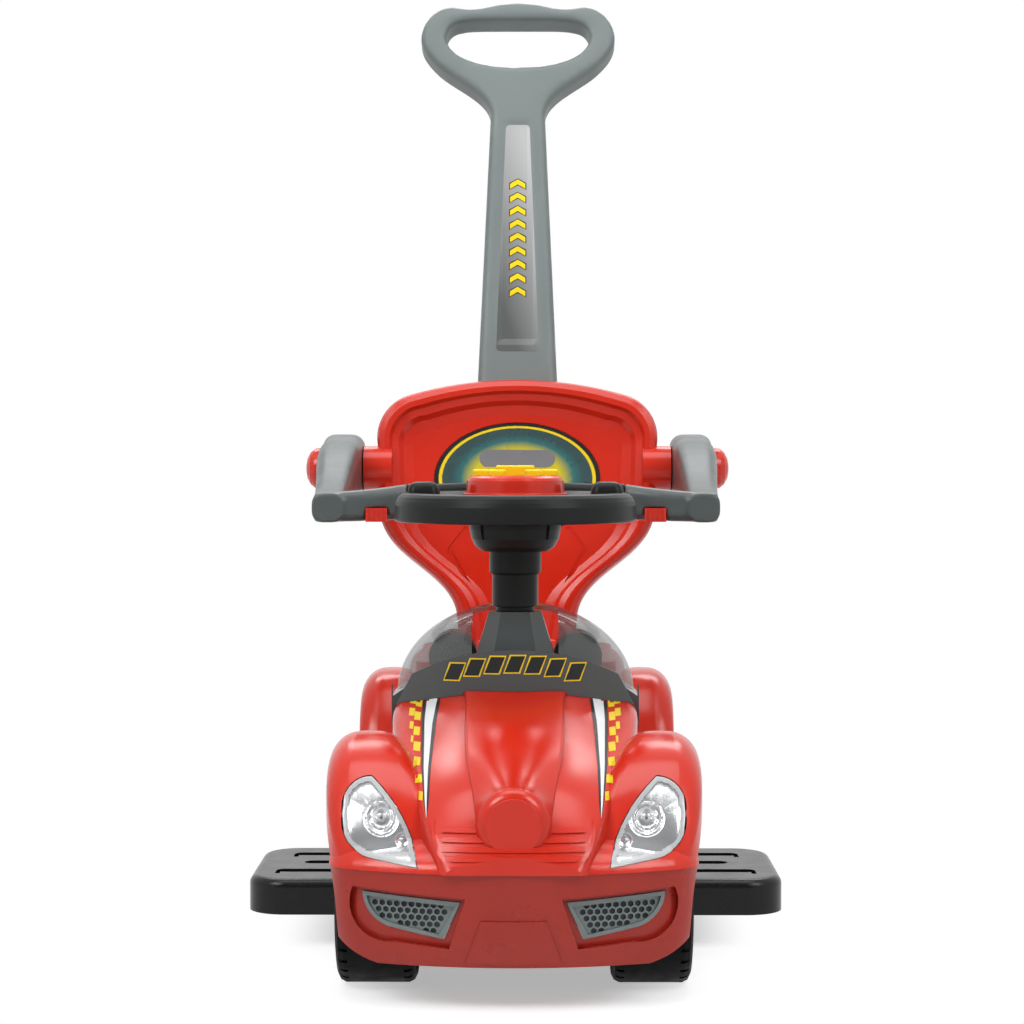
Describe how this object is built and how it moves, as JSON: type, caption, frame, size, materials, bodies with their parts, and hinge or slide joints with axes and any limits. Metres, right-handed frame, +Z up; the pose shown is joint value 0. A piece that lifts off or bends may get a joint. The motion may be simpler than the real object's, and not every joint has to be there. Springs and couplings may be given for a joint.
{
  "type": "push car with handle",
  "caption": "Ride-on push car with moulded body, steering wheel with sound buttons, lifting guard rail, backrest, pull-out footrests and push handle.",
  "frame": {"origin": "on the ground, in the middle of the overall length and width", "axes": "+Z up, the car drives towards -Y, +X is the rider's left"},
  "size_m": [0.442, 0.7793, 0.8528],
  "materials": {
    "red_plastic": "gloss",
    "dull_red_plastic": "satin",
    "grey_plastic": "satin",
    "dark_plastic": "satin",
    "black_plastic": "gloss",
    "tyre": "matte",
    "silver_plastic": "satin",
    "yellow_plastic": "gloss",
    "smoke_screen": "clear",
    "clear_lens": "clear",
    "chrome": "polished",
    "steel": "satin",
    "board": "satin"
  },
  "bodies": {
    "car": {"body_shell": "red_plastic", "front_bumper": "dull_red_plastic", "chassis_pan": "black_plastic", "cowl": "grey_plastic", "windscreen": "smoke_screen", "headlamp_reflector_left": "chrome", "headlamp_reflector_right": "chrome", "headlamp_lens_left": "clear_lens", "headlamp_lens_right": "clear_lens", "fog_grille_left": "grey_plastic", "fog_grille_right": "grey_plastic", "storage_tub": "black_plastic", "backrest": "red_plastic", "column_bush": "dark_plastic", "rear_axle": "steel", "rear_axle_nuts": "steel", "kingpins": "steel", "footrest_rods": "steel", "chassis_screws": "steel", "seat_hinge_pin": "steel", "pivot_knob_left": "red_plastic", "pivot_knob_right": "red_plastic"},
    "steering": {"steering_wheel": "dark_plastic", "hub_bowl": "dark_plastic", "column_tube": "dark_plastic", "steering_rod": "steel", "horn_cap": "red_plastic", "sound_board": "board", "keypad": "dark_plastic", "speaker": "black_plastic", "batteries": "steel"},
    "button_middle": {"button_middle": "yellow_plastic"},
    "button_inner_left": {"button_inner_left": "yellow_plastic"},
    "button_inner_right": {"button_inner_right": "yellow_plastic"},
    "button_outer_left": {"button_outer_left": "yellow_plastic"},
    "button_outer_right": {"button_outer_right": "yellow_plastic"},
    "tie_rod": {"tie_rod": "black_plastic"},
    "knuckle_left": {"knuckle_left": "steel", "front_axle_nut_left": "steel"},
    "knuckle_right": {"knuckle_right": "steel", "front_axle_nut_right": "steel"},
    "wheel_front_left": {"wheel_front_left": "tyre", "hub_cap_front_left": "silver_plastic"},
    "wheel_front_right": {"wheel_front_right": "tyre", "hub_cap_front_right": "silver_plastic"},
    "wheel_rear_left": {"wheel_rear_left": "tyre", "hub_cap_rear_left": "silver_plastic"},
    "wheel_rear_right": {"wheel_rear_right": "tyre", "hub_cap_rear_right": "silver_plastic"},
    "guard": {"guard_arm_left": "grey_plastic", "guard_arm_right": "grey_plastic", "guard_bar": "dark_plastic"},
    "latch_left": {"latch_button_left": "red_plastic"},
    "latch_right": {"latch_button_right": "red_plastic"},
    "seat_lid": {"seat_lid": "red_plastic"},
    "footrest_left": {"footrest_left": "black_plastic"},
    "footrest_right": {"footrest_right": "black_plastic"},
    "push_handle": {"push_handle": "grey_plastic"}
  },
  "joints": [
    {"name": "steering_turn", "type": "hinge", "parent": "car", "child": "steering", "pos_m": [0, -0.1555, 0.36], "axis": [0, 0, 1], "range_deg": [-15, 15]},
    {"name": "knuckle_left_turn", "type": "hinge", "parent": "car", "child": "knuckle_left", "pos_m": [0.06, -0.2655, 0.075], "axis": [0, 0, 1], "range_deg": [-15, 15]},
    {"name": "knuckle_right_turn", "type": "hinge", "parent": "car", "child": "knuckle_right", "pos_m": [-0.06, -0.2655, 0.075], "axis": [0, 0, 1], "range_deg": [-15, 15]},
    {"name": "tie_rod_swing", "type": "hinge", "parent": "steering", "child": "tie_rod", "pos_m": [0, -0.1875, 0.0958], "axis": [0, 0, 1], "range_deg": [-15, 15]},
    {"name": "wheel_front_left_spin", "type": "hinge", "parent": "knuckle_left", "child": "wheel_front_left", "pos_m": [0.104, -0.2655, 0.07], "axis": [1, 0, 0], "continuous": true},
    {"name": "wheel_front_right_spin", "type": "hinge", "parent": "knuckle_right", "child": "wheel_front_right", "pos_m": [-0.104, -0.2655, 0.07], "axis": [1, 0, 0], "continuous": true},
    {"name": "wheel_rear_left_spin", "type": "hinge", "parent": "car", "child": "wheel_rear_left", "pos_m": [0.104, 0.1345, 0.07], "axis": [1, 0, 0], "continuous": true},
    {"name": "wheel_rear_right_spin", "type": "hinge", "parent": "car", "child": "wheel_rear_right", "pos_m": [-0.104, 0.1345, 0.07], "axis": [1, 0, 0], "continuous": true},
    {"name": "guard_lift", "type": "hinge", "parent": "car", "child": "guard", "pos_m": [0, 0.2015, 0.388], "axis": [-1, 0, 0], "range_deg": [0, 95]},
    {"name": "latch_left_press", "type": "slide", "parent": "guard", "child": "latch_left", "axis": [0, 1, 0], "range_m": [0, 0.003], "stiffness_N_per_m": 400},
    {"name": "latch_right_press", "type": "slide", "parent": "guard", "child": "latch_right", "axis": [0, 1, 0], "range_m": [0, 0.003], "stiffness_N_per_m": 400},
    {"name": "seat_lid_open", "type": "hinge", "parent": "car", "child": "seat_lid", "pos_m": [0, 0.1465, 0.2223], "axis": [-1, 0, 0], "range_deg": [0, 75]},
    {"name": "footrest_left_slide", "type": "slide", "parent": "car", "child": "footrest_left", "axis": [1, 0, 0], "range_m": [-0.072, 0]},
    {"name": "footrest_right_slide", "type": "slide", "parent": "car", "child": "footrest_right", "axis": [-1, 0, 0], "range_m": [-0.072, 0]},
    {"name": "push_handle_lift", "type": "slide", "parent": "car", "child": "push_handle", "axis": [0, 0.309, 0.9511], "range_m": [0, 0.094]},
    {"name": "button_middle_press", "type": "slide", "parent": "steering", "child": "button_middle", "axis": [0, 0, -1], "range_m": [0, 0.002], "stiffness_N_per_m": 500},
    {"name": "button_inner_left_press", "type": "slide", "parent": "steering", "child": "button_inner_left", "axis": [0, 0, -1], "range_m": [0, 0.002], "stiffness_N_per_m": 500},
    {"name": "button_inner_right_press", "type": "slide", "parent": "steering", "child": "button_inner_right", "axis": [0, 0, -1], "range_m": [0, 0.002], "stiffness_N_per_m": 500},
    {"name": "button_outer_left_press", "type": "slide", "parent": "steering", "child": "button_outer_left", "axis": [0, 0, -1], "range_m": [0, 0.002], "stiffness_N_per_m": 500},
    {"name": "button_outer_right_press", "type": "slide", "parent": "steering", "child": "button_outer_right", "axis": [0, 0, -1], "range_m": [0, 0.002], "stiffness_N_per_m": 500}
  ],
  "couplings": [
    {"joint": "knuckle_left_turn", "follows": "steering_turn", "ratio": 1},
    {"joint": "knuckle_right_turn", "follows": "steering_turn", "ratio": 1},
    {"joint": "tie_rod_swing", "follows": "steering_turn", "ratio": -1}
  ]
}
